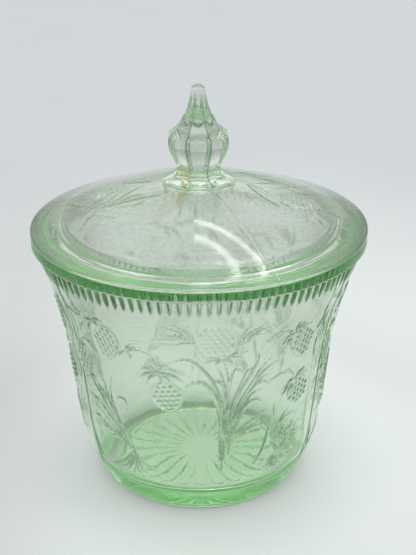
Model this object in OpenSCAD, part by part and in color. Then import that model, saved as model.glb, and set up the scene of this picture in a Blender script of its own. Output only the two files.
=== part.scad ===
// Covered candy dish in pressed green glass: a flared dish and a domed cover with an
// eight-sided knob. The dish stands on a flat ring at z = 0 and the axis of both is Z.
// Every outline is a list of [radius, height] points, turned about Z.

/* [Dish] */
// Height of the dish, from the table to the seat of its cover
dish_h = 111.5; // [108:0.5:116]
// Radius of the rim, the widest circle of the dish
rim_r = 70; // [68.5:0.5:72]
// Height of the plain band round the rim
rim_band_h = 4.2; // [3.4:0.1:5]
// Radius of the foot, where the outside wall starts
foot_r = 42.6; // [41:0.2:44]
// Radius of the outside wall at its waist
waist_r = 54.7; // [53.5:0.1:56]
// Height of the waist above the table
waist_h = 46; // [42:1:52]
// Thickness of the wall
wall_t = 4.6; // [3.6:0.1:5]
// Thickness of the floor
floor_t = 9; // [7:0.5:12]
// Depth of the recess under the foot
recess_d = 1.2; // [0.6:0.1:2]
// Inner radius of the ring that the dish stands on
recess_r = 37; // [34:0.5:38]

/* [Cover] */
// Height of the flange's outer edge
flange_h = 2.4; // [2:0.1:3.2]
// Radius of the crease where the dome rises from the flange
dome_r = 66.8; // [65.5:0.1:67.5]
// Height of the dome above the seat
dome_h = 20; // [18.5:0.5:21.5]
// Thickness of the dome
dome_t = 4.4; // [3.6:0.1:5]
// Outer radius of the locating ring, which hangs in the mouth
ring_r = 61; // [60:0.1:62]
// Thickness of the locating ring
ring_t = 5.4; // [4.6:0.1:6]
// Depth of the locating ring below the seat
ring_d = 6; // [5:0.5:7.5]

/* [Knob] */
// Height of the knob's tip above the seat
knob_h = 60.4; // [56:0.2:64]
// Distance across the flats of the knob's girdle, its widest place
girdle_w = 24.6; // [22:0.2:26]
// Distance across the flats of the knob's neck
neck_w = 17; // [14:0.2:19]
// Distance across the flats of the skirt round the foot of the knob
skirt_w = 29.4; // [28:0.2:31]
// Distance across the flats of the flare that rises from the skirt's flat land
flare_w = 27; // [25:0.2:27.4]
// Height of the skirt's edge above the top of the dome
skirt_rise = 1.3; // [1:0.1:2]

/* [Hidden] */
$fn = 96;
curve_steps = 14;       // straight pieces in each curved stretch of an outline
corner_steps = 4;       // straight pieces in each rounded corner
foot_lean = 0.625;      // outward run of the wall for each unit of rise, at the foot
waist_lean = 0.1;       // the same at the waist
lip_lean = 0.316;       // the same just under the rim band
shin_pull = 0.65;       // how far up to the lip the waist's lean is held, as a share
lip_pull = 0.36;        // how far down from it the lip's lean is held
band_out = 1.6;         // how far the rim band stands out from the wall under it
band_taper = 0.5;       // how much slimmer the band is at its top
edge_r = 0.6;           // rounding of the rim's and the flange's edges
foot_edge = 0.5;        // rounding of the foot
recess_slope = 5;       // width of the curve from the recess down to the foot's ring
mouth_rise = 8;         // height of the flare inside the mouth
mouth_lean = 0.56;      // its outward run for each unit of rise
heel_rise = 14;         // height of the curve between the floor and the inside wall
heel_run = 9;           // its width
heel_ends = [1.5, 1];   // how far the curve's two ends lean in from the inside wall
flange_r = 1.1;         // rounding of the flange's upper edge
dome_lean = 0.31;       // rise of the dome for each unit inwards, at its edge
ring_fillet = [1.4, 0.6, 0.5];  // width, rise and drop of the curve inside the locating ring
under_flat_r = 9;       // radius of the flat underside below the knob
skirt_foot = [1, 0.3];  // how far out and down the curve below the skirt's side reaches
skirt_edge = 0.5;       // height of the skirt's upright edge
land_rise = 0.25;       // rise of the land from the skirt's edge to the flare
neck_rise = 4.5;        // height of the neck above the skirt's edge
belly_rise = 12.8;      // height of the girdle's lower edge above the neck
girdle_taper = [0.1, 0.4];  // how far its lower and upper edges lie inside the girdle's width
girdle_rise = 1.4;      // height of the upper edge above the lower one
tip_r = 3.4;            // radius of the spire under its round tip
tip_rise = 4.6;         // height of the round tip
knob_sides = 8;
glass_green = [0.55, 0.78, 0.58, 0.75];

lip = [rim_r - band_out, dish_h - rim_band_h];
waist = [waist_r, waist_h];

// A point on the cubic curve from a to d that b and c pull towards them.
function bezier_at(a, b, c, d, t) =
    pow(1 - t, 3) * a + 3 * pow(1 - t, 2) * t * b + 3 * (1 - t) * t * t * c + pow(t, 3) * d;

// The whole curve, without its first point so that stretches join end to end.
function bezier(a, b, c, d) =
    [for (i = [1 : curve_steps]) bezier_at(a, b, c, d, i / curve_steps)];

// A rounded corner about centre c, from angle a0 to a1.
function corner(c, r, a0, a1) =
    [for (i = [0 : corner_steps])
        let (a = a0 + (a1 - a0) * i / corner_steps) c + r * [cos(a), sin(a)]];

function reversed(points) = [for (i = [len(points) - 1 : -1 : 0]) points[i]];

// The outside wall from the foot to the lip, with its waist between two curves.
function wall() =
    let (foot = [foot_r, foot_edge], low = waist_h / 4, mid = waist_h / 2,
         rise = lip[1] - waist_h)
    concat(
        bezier(foot, foot + low * [foot_lean, 1], waist - mid * [waist_lean, 1], waist),
        bezier(waist, waist + shin_pull * rise * [waist_lean, 1],
               lip - lip_pull * rise * [lip_lean, 1], lip));

// The inside wall between two heights: the outside one moved in, and one point at its top.
function inside_wall(bottom, top) =
    let (top_r = lookup(top, [for (p = wall()) [p[1], p[0]]]))
    concat([for (p = wall()) if (p[1] > bottom && p[1] < top - 1) p - [wall_t, 0]],
           [[top_r - wall_t, top]]);

// The dish's outline: foot, outside wall, rim band, mouth, inside wall and floor.
module jar_outline() {
    mouth_low = dish_h - mouth_rise;
    inside = inside_wall(floor_t + heel_rise + 1, mouth_low);
    heel_end = inside[0];
    floor_edge = [heel_end[0] - heel_run, floor_t];
    mouth_r = inside[len(inside) - 1][0] + mouth_lean * mouth_rise;
    recess_edge = [recess_r - recess_slope, recess_d];
    recess_mid = [recess_slope / 2, 0];
    polygon(concat(
        [[0, recess_d], recess_edge],
        bezier(recess_edge, recess_edge + recess_mid, [recess_r, 0] - recess_mid, [recess_r, 0]),
        [[foot_r - foot_edge, 0], [foot_r, foot_edge]],
        wall(),
        [[rim_r - edge_r / 2, lip[1] + edge_r]],
        [[rim_r, lip[1] + 2 * edge_r]],
        corner([rim_r - band_taper - edge_r, dish_h - edge_r], edge_r, 0, 90),
        corner([mouth_r + edge_r, dish_h - edge_r], edge_r, 90, 180),
        reversed(inside),
        reversed(bezier(floor_edge, [heel_end[0] - heel_ends[0], floor_t],
                        heel_end - [heel_ends[1], heel_rise / 2], heel_end)),
        [floor_edge, [0, floor_t]]));
}

// The dish: one thick pressed shell, open at the mouth.
module jar() {
    color(glass_green) rotate_extrude() jar_outline();
}

// Top of the dome from the flange's crease to the foot of the knob, above the seat.
function dome(r0, z0, r1, z1) =
    let (fall = z1 - z0, run = r0 - r1)
    concat([[r0, z0]],
        bezier([r0, z0], [r0 - run / 4, z0 + 0.27 * fall], [r1 + run / 3, z1 - 0.2 * fall], [r1, z1]));

// The cover's outline without its knob: flange, dome, underside and locating ring.
module cover_outline() {
    knob_foot_r = skirt_w / 2 + skirt_foot[0];
    under_r = ring_r - ring_t;
    crease_h = flange_h + edge_r;
    under_h = crease_h - dome_t + (dome_r - under_r) * dome_lean;
    polygon(concat(
        corner([rim_r - edge_r, edge_r], edge_r, -90, 0),
        corner([rim_r - flange_r, flange_h - flange_r], flange_r, 0, 80),
        dome(dome_r, crease_h, knob_foot_r, dome_h - skirt_foot[1] / 2),
        [[0, dome_h], [0, dome_h - dome_t]],
        reversed(dome(under_r - ring_fillet[0], under_h + ring_fillet[1], under_flat_r,
                      dome_h - dome_t)),
        [[under_r, under_h - ring_fillet[2]]],
        corner([under_r + edge_r, edge_r - ring_d], edge_r, 180, 270),
        corner([ring_r - edge_r, edge_r - ring_d], edge_r, 270, 360),
        [[ring_r, 0]]));
}

// Half the knob's outline, measured to its flats: skirt, flare, neck, girdle, spire and tip.
module knob_outline() {
    buried = dome_h - 2;
    edge = [skirt_w / 2, dome_h + skirt_rise];
    low = edge - [0, skirt_edge];
    foot = [edge[0] + skirt_foot[0], dome_h - skirt_foot[1]];
    land = [flare_w / 2, edge[1] + land_rise];
    neck = [neck_w / 2, edge[1] + neck_rise];
    belly = [girdle_w / 2 - girdle_taper[0], neck[1] + belly_rise];
    crease = [girdle_w / 2 - girdle_taper[1], belly[1] + girdle_rise];
    spire = [tip_r, knob_h - tip_rise];
    polygon(concat(
        [[0, buried], [foot[0], buried], foot],
        bezier(foot, foot + [-0.6, 0.2], low - [0, 0.3], low),
        [edge, land],
        bezier(land, land + [-2.2, 0.95], neck + [0.4, -2.6], neck),
        bezier(neck, neck + [0, 3], belly + [0.5, -5.5], belly),
        [crease],
        bezier(crease, crease + [-3.4, 1.6], spire + [1, -8], spire),
        bezier(spire, [spire[0], spire[1] + 3], [2, knob_h], [0, knob_h])));
}

// The cover: a domed disc with its knob pressed in one, seated on the rim of the dish.
module cover() {
    to_corners = 1 / cos(180 / knob_sides);
    color(glass_green) translate([0, 0, dish_h]) {
        rotate_extrude() cover_outline();
        rotate([0, 0, 180 / knob_sides]) rotate_extrude($fn = knob_sides)
            scale([to_corners, 1]) knob_outline();
    }
}

jar();
cover();
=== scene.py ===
"""A covered candy dish in pressed green glass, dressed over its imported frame.

The dish and its cover are one closed glass mesh each. Their outlines repeat the frame's, and the
pressed pattern is raised on them as real relief: a band of ribs under the rim, sprays of berries
on the wall and the cover, a rosette under the foot, and the seams of the mould. Sizes inside the
classes are in millimetres, and MM turns them to metres when a mesh is made. Angles on the pieces
run from the front, -Y, towards the right, +X.
"""

import logging
import math
from collections.abc import Callable, Sequence
from dataclasses import dataclass, field
from enum import Enum

import bpy
import numpy as np
from mathutils import Matrix, Vector


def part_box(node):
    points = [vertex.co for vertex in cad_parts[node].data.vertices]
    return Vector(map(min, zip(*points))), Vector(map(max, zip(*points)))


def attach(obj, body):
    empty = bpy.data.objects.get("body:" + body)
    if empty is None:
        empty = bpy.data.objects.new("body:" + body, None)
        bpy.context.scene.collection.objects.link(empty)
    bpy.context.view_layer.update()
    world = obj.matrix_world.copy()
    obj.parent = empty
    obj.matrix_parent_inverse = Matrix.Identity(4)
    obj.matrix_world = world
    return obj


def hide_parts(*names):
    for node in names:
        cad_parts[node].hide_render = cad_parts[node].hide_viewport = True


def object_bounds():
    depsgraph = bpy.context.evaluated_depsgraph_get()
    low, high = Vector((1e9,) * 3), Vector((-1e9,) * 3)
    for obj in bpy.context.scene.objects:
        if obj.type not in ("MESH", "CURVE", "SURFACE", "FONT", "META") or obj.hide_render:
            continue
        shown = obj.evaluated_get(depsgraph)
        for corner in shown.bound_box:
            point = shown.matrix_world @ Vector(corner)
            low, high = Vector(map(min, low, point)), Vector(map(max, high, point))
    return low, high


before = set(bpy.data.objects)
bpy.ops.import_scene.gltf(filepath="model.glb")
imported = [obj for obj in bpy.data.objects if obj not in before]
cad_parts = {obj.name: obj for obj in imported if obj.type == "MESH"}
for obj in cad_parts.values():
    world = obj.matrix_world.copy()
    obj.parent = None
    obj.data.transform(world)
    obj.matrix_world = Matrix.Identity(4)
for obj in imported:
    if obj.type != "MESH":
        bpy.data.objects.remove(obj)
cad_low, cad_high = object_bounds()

log = logging.getLogger("candy_dish")

MM = 0.001
# Painted shade: the mesh attribute that says where the glass's colour is darkened along the pattern's steep
# edges and the knob's corners and arcs.
PAINTED_SHADE_ATTR = "crease"

Point = tuple[float, float]
Colour = tuple[float, float, float, float]
Relief = Callable[[np.ndarray, np.ndarray, np.ndarray], np.ndarray]


# ---------------------------------------------------------------- curves


def cubic(a: Point, b: Point, c: Point, d: Point, steps: int = 40) -> np.ndarray:
    """Points on the cubic curve from a to d that b and c pull towards them.

    Args:
        a: The first point.
        b: The first pulling point.
        c: The second pulling point.
        d: The last point.
        steps: How many straight pieces stand for the curve.

    Returns:
        An array of steps + 1 points.
    """
    t = np.linspace(0.0, 1.0, steps + 1)[:, None]
    first, second, third, last = (np.asarray(p, float) for p in (a, b, c, d))
    near, far = 1 - t, t
    return near**3 * first + 3 * near**2 * far * second + 3 * near * far**2 * third + far**3 * last


def through(points: Sequence[Point], steps: int = 10) -> np.ndarray:
    """A smooth line through given points, as short straight pieces.

    Args:
        points: Two or more points that the line passes through.
        steps: Pieces between one point and the next.

    Returns:
        An array of points along the line.
    """
    knots = np.asarray(points, float)
    ends = np.vstack([2 * knots[0] - knots[1], knots, 2 * knots[-1] - knots[-2]])
    t = np.linspace(0.0, 1.0, steps, endpoint=False)[:, None]
    runs = []
    for before, start, stop, after in zip(ends, ends[1:], ends[2:], ends[3:]):
        bow = 2 * before - 5 * start + 4 * stop - after
        turn = 3 * start - before - 3 * stop + after
        runs.append(start + 0.5 * t * (stop - before + t * (bow + t * turn)))
    return np.vstack([*runs, knots[-1:]])


def corner(centre: Point, radius: float, start: float, stop: float, steps: int = 4) -> np.ndarray:
    """Points round an edge, from angle start to angle stop in degrees."""
    angles = np.radians(np.linspace(start, stop, steps + 1))
    return np.asarray(centre, float) + radius * np.stack([np.cos(angles), np.sin(angles)], 1)


def resample(points: np.ndarray, step: float) -> np.ndarray:
    """The same line with its points evenly spaced.

    Args:
        points: The line.
        step: About how far apart the new points are.

    Returns:
        The new points, the line's two ends among them.
    """
    lengths = np.hypot(*np.diff(points, axis=0).T)
    along = np.concatenate([[0.0], np.cumsum(lengths)])
    places = np.linspace(0.0, along[-1], max(2, round(along[-1] / step) + 1))
    return np.stack([np.interp(places, along, points[:, k]) for k in (0, 1)], 1)


def smooth_step(low: float, high: float, value: np.ndarray) -> np.ndarray:
    """0 below low, 1 above high, and an easy curve between them."""
    t = np.clip((value - low) / (high - low), 0.0, 1.0)
    return t * t * (3 - 2 * t)


# ---------------------------------------------------------------- relief


class ReliefMap:
    """A sheet of raised pattern on a flat plane, which a curved piece then samples.

    Motifs are pressed into the sheet one after another, and the highest of them wins. The class's
    own numbers are shares of a motif's size, apart from its least widths and its seeds' pitch,
    foot and top, which are in the sheet's units.
    """

    blade_root = 0.6
    blade_least = 0.2
    blade_crown = 0.1
    leaf_span = (0.02, 0.98)
    leaf_blunt = 0.7
    leaf_sunk = 0.5
    leaf_fall = (0.5, 1.1)
    vein_w = 0.8
    berry_taper = 0.32
    berry_rim = 0.07
    berry_flesh = 0.35
    berry_dome = 0.15
    seed_share = 0.5
    seed_pitch = 2.4
    seed_rise = 0.866
    seed_reach = 0.44
    seed_foot = 1.05
    seed_top = 0.55
    seed_rows = 6

    def __init__(self, low: Point, high: Point, cell: float, side: float = 0.3) -> None:
        """Starts a blank sheet.

        Args:
            low: The sheet's lowest corner.
            high: Its highest corner.
            cell: The size of one cell.
            side: How far in from its outline a motif reaches its full height.
        """
        self.low, self.cell, self.side = low, cell, side
        self.across = np.arange(low[0], high[0] + cell, cell)
        self.up = np.arange(low[1], high[1] + cell, cell)
        self.sheet = np.zeros((len(self.up), len(self.across)))

    def window(self, points: np.ndarray, reach: float) -> tuple[slice, slice]:
        """The rows and columns of the sheet within reach of some points."""
        low = (points.min(0) - reach - self.low) / self.cell
        high = (points.max(0) + reach - self.low) / self.cell
        columns = slice(max(0, int(low[0])), max(0, int(high[0]) + 2))
        rows = slice(max(0, int(low[1])), max(0, int(high[1]) + 2))
        return rows, columns

    def nearest(self, line: np.ndarray, reach: float) -> tuple[slice, slice, np.ndarray, np.ndarray]:
        """How far each cell near a line is from it.

        Args:
            line: The line's points.
            reach: How far out to measure.

        Returns:
            The window's rows and columns, each cell's distance, and how far along the line it is,
            from 0 to 1.
        """
        rows, columns = self.window(line, reach)
        x, y = np.meshgrid(self.across[columns], self.up[rows])
        best, along = np.full(x.shape, 1e9), np.zeros(x.shape)
        pieces = len(line) - 1
        for i, (start, stop) in enumerate(zip(line, line[1:])):
            run = stop - start
            t = ((x - start[0]) * run[0] + (y - start[1]) * run[1]) / max(run @ run, 1e-9)
            t = np.clip(t, 0.0, 1.0)
            away = np.hypot(x - start[0] - t * run[0], y - start[1] - t * run[1])
            nearer = away < best
            best = np.where(nearer, away, best)
            along = np.where(nearer, (i + t) / pieces, along)
        return rows, columns, best, along

    def press(self, rows: slice, columns: slice, height: np.ndarray) -> None:
        """Raises the sheet to height wherever it is lower."""
        self.sheet[rows, columns] = np.maximum(self.sheet[rows, columns], height)

    def blade(self, points: Sequence[Point], width: float, height: float, fat: float = 0.35) -> None:
        """A blade of grass or a stem: a rounded ridge that tapers to both ends.

        Args:
            points: What its middle passes through, from root to tip.
            width: Its full width where it is widest.
            height: How high it stands.
            fat: Where along it that is, from 0 to 1.
        """
        line = through(points)
        rows, columns, away, along = self.nearest(line, width)
        root = self.blade_root
        swell = np.where(along < fat, root + (1 - root) * along / fat, 1 - ((along - fat) / (1 - fat)) ** 2)
        half = np.maximum(0.5 * width * swell, self.blade_least)
        side = smooth_step(0.0, self.side, half - away)
        bulge = np.sqrt(np.clip(1 - (away / half) ** 2, 0.0, 1.0))
        self.press(rows, columns, height * side * (1 - self.blade_crown + self.blade_crown * bulge))

    def leaf(self, points: Sequence[Point], width: float, height: float) -> None:
        """A broad flat leaf with a raised rim and a vein.

        Args:
            points: What its vein passes through, from stalk to tip.
            width: Its full width.
            height: How high its rim stands.
        """
        line = through(points)
        rows, columns, away, along = self.nearest(line, width)
        half = 0.5 * width * np.sin(math.pi * np.clip(along, *self.leaf_span)) ** self.leaf_blunt
        inside = half - away
        sunk = 1 - self.leaf_sunk * smooth_step(*self.leaf_fall, inside)
        self.press(rows, columns, height * (smooth_step(0.0, self.side, inside) * sunk))
        self.blade(points, self.vein_w, height)

    def berry(self, centre: Point, size: Point, lean: float, height: float) -> None:
        """A berry: a domed heart of fruit with a bump for each seed.

        Args:
            centre: The middle of the fruit.
            size: Its width and its length.
            lean: How far its tip leans from straight down, in degrees, to the right.
            height: How high the fruit stands.
        """
        middle = np.asarray(centre, float)
        rows, columns = self.window(middle[None, :], max(size))
        x, y = np.meshgrid(self.across[columns], self.up[rows])
        a = math.radians(lean)
        u = (x - middle[0]) * math.cos(a) + (y - middle[1]) * math.sin(a)
        v = -(x - middle[0]) * math.sin(a) + (y - middle[1]) * math.cos(a)
        taper = 1 + self.berry_taper * v / size[1]
        out = np.hypot(u / (0.5 * size[0] * taper), v / (0.5 * size[1]))
        body = np.sqrt(np.clip(1 - out**2, 0.0, 1.0))
        rim = smooth_step(0.0, self.berry_rim, 1 - out)
        seeds = np.zeros(x.shape)
        reach = (self.seed_reach * size[0], self.seed_reach * size[1])
        for row in range(-self.seed_rows, self.seed_rows + 1):
            for place in range(-self.seed_rows, self.seed_rows + 1):
                seed_u = (place + 0.5 * (row % 2)) * self.seed_pitch
                seed_v = row * self.seed_pitch * self.seed_rise
                if math.hypot(seed_u / reach[0], seed_v / reach[1]) > 1:
                    continue
                away = np.hypot(u - seed_u, v - seed_v)
                seeds = np.maximum(seeds, smooth_step(self.seed_foot, self.seed_top, away))
        fruit = rim * (self.berry_flesh + self.berry_dome * body) + self.seed_share * seeds * rim
        self.press(rows, columns, height * fruit)

    def fan(self, root: Point, tips: Sequence[Point], width: float, height: float, bow: float) -> None:
        """Blades from one root to many tips, each bowed a little.

        Args:
            root: Where they start.
            tips: Where they end.
            width: The width of each.
            height: How high they stand.
            bow: Sideways bow at mid length, as a share of the length.
        """
        for tip in tips:
            run = (tip[0] - root[0], tip[1] - root[1])
            side = bow if run[0] > 0 else -bow
            middle = (root[0] + 0.5 * run[0] - side * run[1], root[1] + 0.5 * run[1] + side * run[0])
            self.blade([root, middle, tip], width, height)

    def sample(self, x: np.ndarray, y: np.ndarray) -> np.ndarray:
        """The sheet's height at each x and y, with nothing raised outside it."""
        column = (x - self.low[0]) / self.cell
        row = (y - self.low[1]) / self.cell
        rows, columns = self.sheet.shape
        inside = (column >= 0) & (row >= 0) & (column < columns - 1) & (row < rows - 1)
        c = np.clip(column.astype(int), 0, columns - 2)
        r = np.clip(row.astype(int), 0, rows - 2)
        fc, fr = np.clip(column - c, 0, 1), np.clip(row - r, 0, 1)
        s = self.sheet
        low = s[r, c] * (1 - fc) + s[r, c + 1] * fc
        high = s[r + 1, c] * (1 - fc) + s[r + 1, c + 1] * fc
        return np.where(inside, low * (1 - fr) + high * fr, 0.0)


@dataclass(frozen=True)
class Seams:
    """The thin raised lines that a mould's parts leave, evenly spaced round a piece."""

    first: float
    count: int
    width: float
    height: float

    def relief(self, angle: np.ndarray, radius: np.ndarray) -> np.ndarray:
        """The height of the lines at each angle and radius."""
        gap = 360.0 / self.count
        degrees = (np.degrees(angle) - self.first + 0.5 * gap) % gap - 0.5 * gap
        away = np.radians(degrees) * radius
        return self.height * np.exp(-((away / self.width) ** 2))


# ---------------------------------------------------------------- turned meshes


class Skin:
    """A closed mesh made of rings about Z, from its lowest point on the axis to its highest."""

    probe = 0.4
    # How steep the pattern must be before painted shade starts, and where it is full.
    shade_slope = (0.15, 0.8)

    def __init__(self, bottom: float) -> None:
        """Starts the mesh at a point on the axis, at height bottom."""
        self.points: list[np.ndarray] = [np.array([[0.0, 0.0, bottom]])]
        self.shade_marks: list[np.ndarray] = [np.zeros(1)]
        self.faces: list[list[int]] = []
        self.count = 1
        self.last_start, self.last_columns = 0, 1

    def ring(self, radii: np.ndarray, heights: np.ndarray, crease: np.ndarray | None = None) -> None:
        """Adds a ring and the faces that join it to the one before.

        Args:
            radii: The distance of each point from the axis, evenly round from the front.
            heights: The height of each point.
            crease: How much painted shade lies at each point, from 0 to 1, where there is any; on the pattern
                it follows how steep the pattern is.
        """
        columns = len(radii)
        self.shade_marks.append(np.zeros(columns) if crease is None else crease)
        angles = 2 * math.pi * np.arange(columns) / columns
        self.points.append(np.stack([radii * np.sin(angles), -radii * np.cos(angles), heights], 1))
        start = self.count
        self.count += columns
        self._join(self.last_start, self.last_columns, start, columns)
        self.last_start, self.last_columns = start, columns

    def _join(self, low: int, low_columns: int, high: int, high_columns: int) -> None:
        """Joins two rings whose numbers of points are the same, or a multiple of each other."""
        if low_columns == 1:
            for j in range(high_columns):
                self.faces.append([low, high + (j + 1) % high_columns, high + j])
            return
        shared = min(low_columns, high_columns)
        low_each, high_each = low_columns // shared, high_columns // shared
        for j in range(shared):
            under = [low + (j * low_each + k) % low_columns for k in range(low_each + 1)]
            over = [high + (j * high_each + k) % high_columns for k in range(high_each + 1)]
            self.faces.append(under + over[::-1])

    def stretch(
        self, outline: np.ndarray, columns: int, relief: Relief | None = None, marked: float = 1.0
    ) -> None:
        """Adds a ring for each point of an outline, raised along its normal by a relief.

        Args:
            outline: Radius and height of each ring.
            columns: The points in each ring.
            relief: Gives the height of the pattern from angle, radius and height.
            marked: How strongly painted shade is laid along the pattern's steep edges, from 0 to 1.
        """
        slope = np.gradient(outline, axis=0)
        normal = np.stack([slope[:, 1], -slope[:, 0]], 1) / np.hypot(*slope.T)[:, None]
        angles = 2 * math.pi * np.arange(columns) / columns
        around = np.broadcast_to(angles, (len(outline), columns))
        radius = np.repeat(outline[:, :1], columns, 1)
        height = np.repeat(outline[:, 1:], columns, 1)
        raised = relief(around, radius, height) if relief else np.zeros(radius.shape)
        # Painted shade: darker colour where the pattern is steep, standing in for the dark lines that its
        # edges show in the glass.
        crease = np.zeros(radius.shape)
        if relief:
            for turn in ((0, self.probe), (self.probe, 0)):
                beside = relief(around + turn[0] / radius, radius, height + turn[1])
                crease = np.maximum(crease, np.abs(beside - raised))
            crease = marked * smooth_step(*self.shade_slope, crease / self.probe)
        for i in range(len(outline)):
            self.ring(radius[i] + raised[i] * normal[i, 0], height[i] + raised[i] * normal[i, 1], crease[i])

    def close(self, top: float) -> None:
        """Ends the mesh at a point on the axis, at height top."""
        self.points.append(np.array([[0.0, 0.0, top]]))
        self.shade_marks.append(np.zeros(1))
        for j in range(self.last_columns):
            following = self.last_start + (j + 1) % self.last_columns
            self.faces.append([self.last_start + j, following, self.count])
        self.count += 1

    def build(self, name: str) -> bpy.types.Object:
        """Makes the mesh object, in metres and smoothly shaded.

        Args:
            name: The object's name.

        Returns:
            The object, linked to the scene.
        """
        mesh = bpy.data.meshes.new(name)
        mesh.from_pydata((np.vstack(self.points) * MM).tolist(), [], self.faces)
        mesh.validate()
        mesh.polygons.foreach_set("use_smooth", np.ones(len(mesh.polygons), bool))
        # The painted shade goes on the mesh as a point attribute that the glass's colour reads.
        mesh.attributes.new(PAINTED_SHADE_ATTR, "FLOAT", "POINT").data.foreach_set("value", np.concatenate(self.shade_marks))
        mesh.update()
        piece = bpy.data.objects.new(name, mesh)
        bpy.context.scene.collection.objects.link(piece)
        return piece


# ---------------------------------------------------------------- shader recipes


class Flow:
    """One value in a shader tree. Arithmetic on it adds the Math nodes."""

    def __init__(self, recipe: "Recipe", socket: bpy.types.NodeSocket) -> None:
        """Wraps an output socket of a recipe's tree."""
        self.recipe, self.socket = recipe, socket

    def _math(self, operation: str, left: "Flow | float", right: "Flow | float" = 0.0) -> "Flow":
        """Adds one Math node and returns its output."""
        node = self.recipe.node("ShaderNodeMath", {"operation": operation}, {0: left, 1: right})
        return Flow(self.recipe, node.outputs[0])

    def __add__(self, other: "Flow | float") -> "Flow":
        """This value plus another."""
        return self._math("ADD", self, other)

    def __radd__(self, other: float) -> "Flow":
        """A number plus this value."""
        return self._math("ADD", other, self)

    def __sub__(self, other: "Flow | float") -> "Flow":
        """This value less another."""
        return self._math("SUBTRACT", self, other)

    def __rsub__(self, other: float) -> "Flow":
        """A number less this value."""
        return self._math("SUBTRACT", other, self)

    def __mul__(self, other: "Flow | float") -> "Flow":
        """This value times another."""
        return self._math("MULTIPLY", self, other)

    def __rmul__(self, other: float) -> "Flow":
        """A number times this value."""
        return self._math("MULTIPLY", other, self)

    def __truediv__(self, other: "Flow | float") -> "Flow":
        """This value over another."""
        return self._math("DIVIDE", self, other)

    def __pow__(self, other: "Flow | float") -> "Flow":
        """This value to a power."""
        return self._math("POWER", self, other)

    def size(self) -> "Flow":
        """This value without its sign."""
        return self._math("ABSOLUTE", self)

    def root(self) -> "Flow":
        """The square root of this value."""
        return self._math("SQRT", self)

    def step(self, low: float, high: float) -> "Flow":
        """0 below low, 1 above high, and an easy curve between them. High may be the lower one."""
        settings = {"interpolation_type": "SMOOTHSTEP"}
        if low < high:
            links = {"Value": self, "From Min": low, "From Max": high}
        else:
            links = {"Value": self, "From Min": high, "From Max": low, "To Min": 1.0, "To Max": 0.0}
        node = self.recipe.node("ShaderNodeMapRange", settings, links)
        return Flow(self.recipe, node.outputs["Result"])


class Recipe:
    """The node tree of one material or of the world."""

    def __init__(self, tree: bpy.types.NodeTree) -> None:
        """Clears the tree and takes it over."""
        tree.nodes.clear()
        self.tree = tree

    def node(self, kind: str, settings: dict | None = None, links: dict | None = None) -> bpy.types.Node:
        """Adds a node.

        Args:
            kind: Blender's name of the node's type.
            settings: What to set on the node itself, before its sockets. The stops of a colour
                ramp are (place, colour) pairs under "stops".
            links: A value, socket or Flow for each input, by name or number.

        Returns:
            The node.
        """
        made = self.tree.nodes.new(kind)
        for name, value in (settings or {}).items():
            if name == "stops":
                self._set_stops(made.color_ramp, value)
            else:
                setattr(made, name, value)
        for name, value in (links or {}).items():
            value = value.socket if isinstance(value, Flow) else value
            if isinstance(value, bpy.types.NodeSocket):
                self.tree.links.new(value, made.inputs[name])
            else:
                made.inputs[name].default_value = value
        return made

    @staticmethod
    def _set_stops(ramp: bpy.types.ColorRamp, stops: Sequence[tuple[float, Colour]]) -> None:
        """Gives a colour ramp its stops."""
        while len(ramp.elements) < len(stops):
            ramp.elements.new(1.0)
        for element, (place, colour) in zip(ramp.elements, stops):
            element.position, element.color = place, colour

    def place(self) -> bpy.types.NodeSocket:
        """The point being shaded, in the piece's own metres, so that it moves with the piece."""
        return self.node("ShaderNodeTexCoord").outputs["Object"]

    def axes(self, vector: bpy.types.NodeSocket) -> tuple[Flow, Flow, Flow]:
        """The three parts of a vector."""
        parts = self.node("ShaderNodeSeparateXYZ", None, {0: vector})
        return Flow(self, parts.outputs[0]), Flow(self, parts.outputs[1]), Flow(self, parts.outputs[2])

    def mix(
        self, factor: Flow, first: Colour | bpy.types.NodeSocket, second: Colour | bpy.types.NodeSocket
    ) -> bpy.types.NodeSocket:
        """A blend of two colours, all second where factor is 1."""
        node = self.node("ShaderNodeMix", {"data_type": "RGBA"}, {0: factor, 6: first, 7: second})
        return node.outputs[2]

    def bump(self, height: Flow, distance: float, strength: float) -> bpy.types.NodeSocket:
        """A normal tilted by a height, where distance is the height of 1 in metres."""
        links = {"Height": height, "Distance": distance, "Strength": strength}
        return self.node("ShaderNodeBump", None, links).outputs["Normal"]


@dataclass(frozen=True)
class Mottle:
    """Soft random variation, about 0.5 on average.

    It has scale bumps to the metre and detail finer layers, each rough times as strong as the one
    before. Where it has limits, it is eased from 0 below the first to 1 above the second.
    """

    scale: float
    detail: float
    rough: float = 0.5
    limits: Point | None = None

    def over(self, recipe: Recipe, place: bpy.types.NodeSocket) -> Flow:
        """The variation over a place."""
        links = {"Vector": place, "Scale": self.scale, "Detail": self.detail, "Roughness": self.rough}
        plain = Flow(recipe, recipe.node("ShaderNodeTexNoise", None, links).outputs["Fac"])
        return plain.step(*self.limits) if self.limits else plain


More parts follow.
